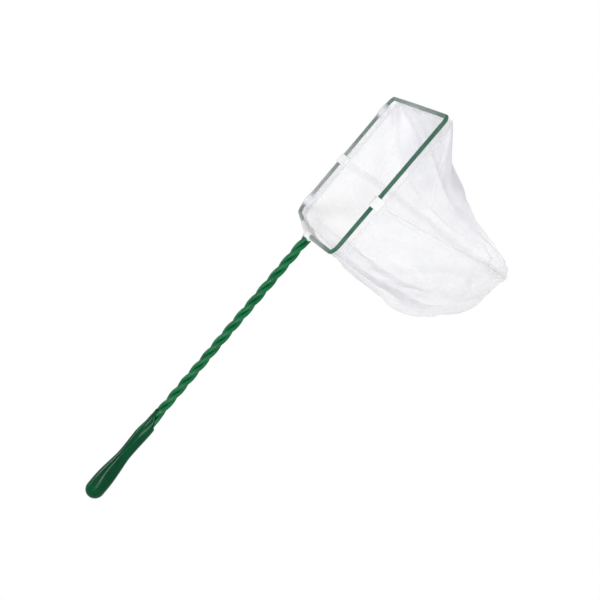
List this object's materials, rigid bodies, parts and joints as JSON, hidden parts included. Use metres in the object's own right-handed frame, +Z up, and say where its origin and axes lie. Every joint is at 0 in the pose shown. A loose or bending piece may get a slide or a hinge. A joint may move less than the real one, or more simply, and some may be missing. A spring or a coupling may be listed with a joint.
{
  "type": "aquarium fish net",
  "caption": "Hand-held aquarium fish net: coated wire bent into a twisted shaft and a rectangular rim, a dipped vinyl grip and a sewn sheer mesh bag.",
  "frame": {"origin": "on the shaft's axis at the waist of the grip, where the hand holds the net", "axes": "+X along the handle from the grip to the bag, +Z up out of the mouth with the bag hanging towards -Z, +Y to the left seen from the handle"},
  "size_m": [0.2674, 0.105, 0.0933],
  "materials": {
    "coated_wire": "glossy green PVC coat",
    "dipped_vinyl": "glossy green dipped vinyl",
    "sheer_mesh": "sheer white nylon mesh",
    "doubled_mesh": "folded white nylon mesh",
    "sewing_thread": "white sewing thread"
  },
  "bodies": {
    "root": {"frame_wire": "coated_wire", "grip": "dipped_vinyl", "bag_panel_handle_side": "sheer_mesh", "bag_panel_far_side": "sheer_mesh", "bag_seam": "doubled_mesh", "seam_cuff_left": "doubled_mesh", "seam_cuff_right": "doubled_mesh", "neck_cuff": "doubled_mesh", "hem_thread": "sewing_thread", "seam_thread": "sewing_thread"}
  },
  "joints": []
}
